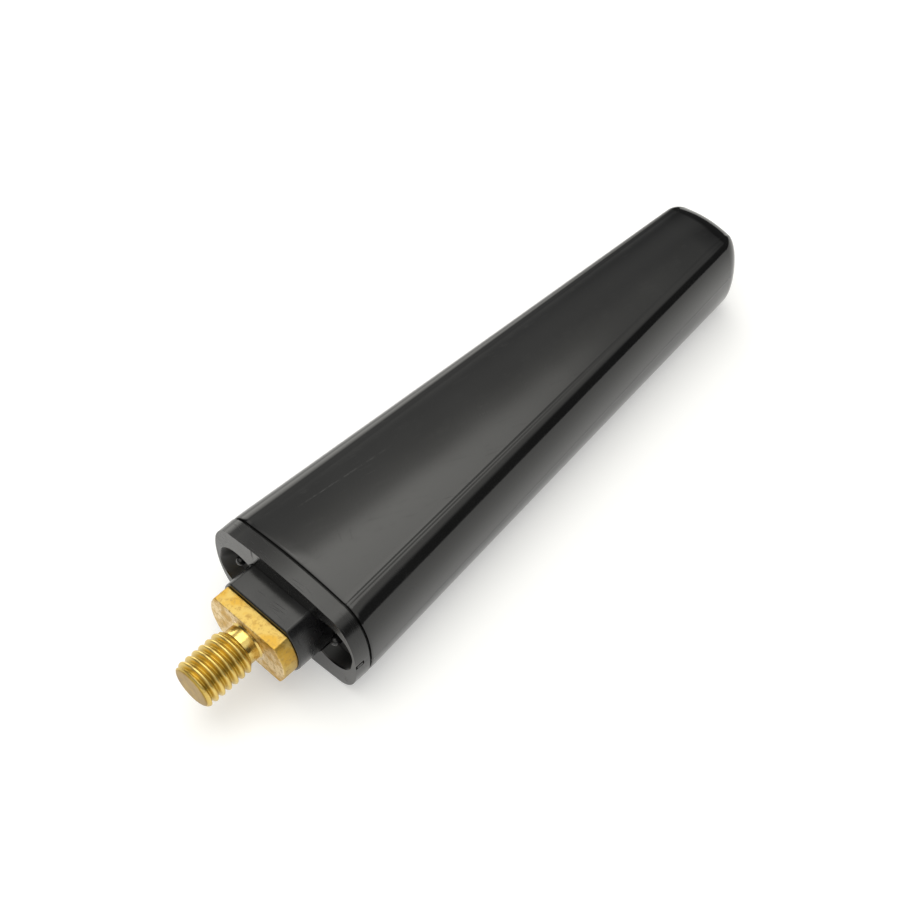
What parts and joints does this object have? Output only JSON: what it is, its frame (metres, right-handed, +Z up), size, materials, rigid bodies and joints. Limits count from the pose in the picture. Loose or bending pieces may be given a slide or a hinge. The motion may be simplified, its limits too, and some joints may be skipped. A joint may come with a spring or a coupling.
{
  "type": "car mast aerial",
  "caption": "Short flattened, tapered plastic car aerial mast with a plugged foot and a brass screw-in stud with a two-flat flange.",
  "frame": {"origin": "where the stud's axis meets the flange's seat face", "axes": "+X along the stud's axis, from the seat towards the mast's tip; +Y across the mast's width; +Z up through its thickness, with the mast lying on its flat back"},
  "size_m": [0.089, 0.023, 0.0144],
  "materials": {
    "shell_plastic": "gloss black moulded plastic with fine scratches",
    "cap_plastic": "gloss black moulded plastic",
    "boss_plastic": "black moulded plastic, semi gloss",
    "stud_brass": "turned brass, lightly tarnished",
    "glass_fibre": "drawn glass fibre rod",
    "copper_wire": "enamelled copper wire",
    "solder": "bright solder",
    "sleeve_plastic": "matt black shrink sleeve",
    "foam": "dark grey closed-cell foam"
  },
  "bodies": {
    "root": {"shell": "shell_plastic", "end_cap": "cap_plastic", "boss": "boss_plastic", "stud": "stud_brass", "core_rod": "glass_fibre", "winding": "copper_wire", "solder_joint": "solder", "heat_shrink": "sleeve_plastic", "foam_collar": "foam"}
  },
  "joints": []
}
